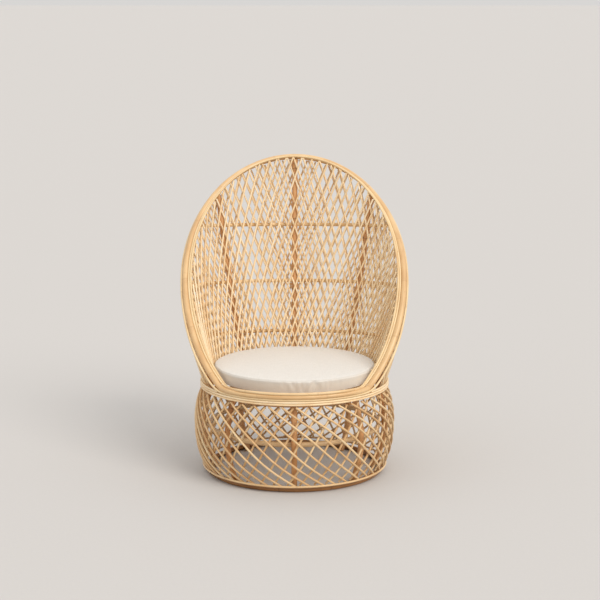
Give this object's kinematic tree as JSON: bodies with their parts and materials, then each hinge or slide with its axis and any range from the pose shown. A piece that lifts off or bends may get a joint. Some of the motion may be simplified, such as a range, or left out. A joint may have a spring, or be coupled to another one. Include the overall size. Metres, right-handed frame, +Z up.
{
  "type": "peacock chair",
  "caption": "Round rattan peacock chair: flared open lattice back with a bent rim, barrel lattice base, waist band and a loose round seat cushion.",
  "frame": {"origin": "on the floor, below the middle of the bounding box of the whole chair", "axes": "+Z up; -Y is the front, where the sitter faces; +X to the right as seen from the front"},
  "size_m": [0.8664, 0.9066, 1.1459],
  "materials": {
    "pole": "peeled rattan pole, orange brown, satin lacquer",
    "rim": "peeled rattan pole, honey, satin lacquer",
    "cane": "split rattan cane, light honey, satin lacquer",
    "canvas": "cream cotton canvas, plain weave, matt"
  },
  "bodies": {
    "frame": {"back_cross_canes_1": "cane", "back_cross_canes_2": "cane", "back_cross_canes_3": "cane", "back_cross_canes_4": "cane", "back_inner_canes": "cane", "back_left_post": "pole", "back_outer_canes": "cane", "back_outer_cross_canes": "cane", "back_post": "pole", "back_right_post": "pole", "band_fine_cane_1": "cane", "band_fine_cane_2": "cane", "band_fine_cane_3": "cane", "band_pole": "cane", "band_top_cane": "cane", "base_inner_canes_1": "cane", "base_inner_canes_2": "cane", "base_inner_canes_3": "cane", "base_inner_canes_4": "cane", "base_inner_canes_5": "cane", "base_inner_canes_6": "cane", "base_outer_canes": "cane", "floor_binder": "cane", "floor_ring": "pole", "front_left_post": "pole", "front_post": "pole", "front_rail": "rim", "front_right_post": "pole", "left_side_post": "pole", "low_hoop_far_left": "pole", "low_hoop_far_right": "pole", "low_hoop_left": "pole", "low_hoop_right": "pole", "mid_hoop": "rim", "mid_hoop_far_left": "pole", "mid_hoop_far_right": "pole", "mid_hoop_left": "pole", "mid_hoop_right": "pole", "right_side_post": "pole", "rim_inner_cane_1": "cane", "rim_inner_cane_2": "cane", "rim_outer_cane": "cane", "rim_pole": "rim", "seat_bearer_left": "pole", "seat_bearer_middle": "pole", "seat_bearer_right": "pole", "seat_hoop": "pole", "seat_slat_1": "cane", "seat_slat_2": "cane", "seat_slat_3": "cane", "seat_slat_4": "cane", "seat_slat_5": "cane", "seat_slat_6": "cane", "seat_slat_7": "cane", "top_hoop_far_left": "pole", "top_hoop_far_right": "pole", "top_hoop_left": "pole", "top_hoop_right": "pole"},
    "cushion": {"cushion": "canvas"}
  },
  "joints": [
    {"name": "cushion_lift", "type": "slide", "parent": "frame", "child": "cushion", "axis": [0, 0, 1], "range_m": [0, 0.3]}
  ]
}
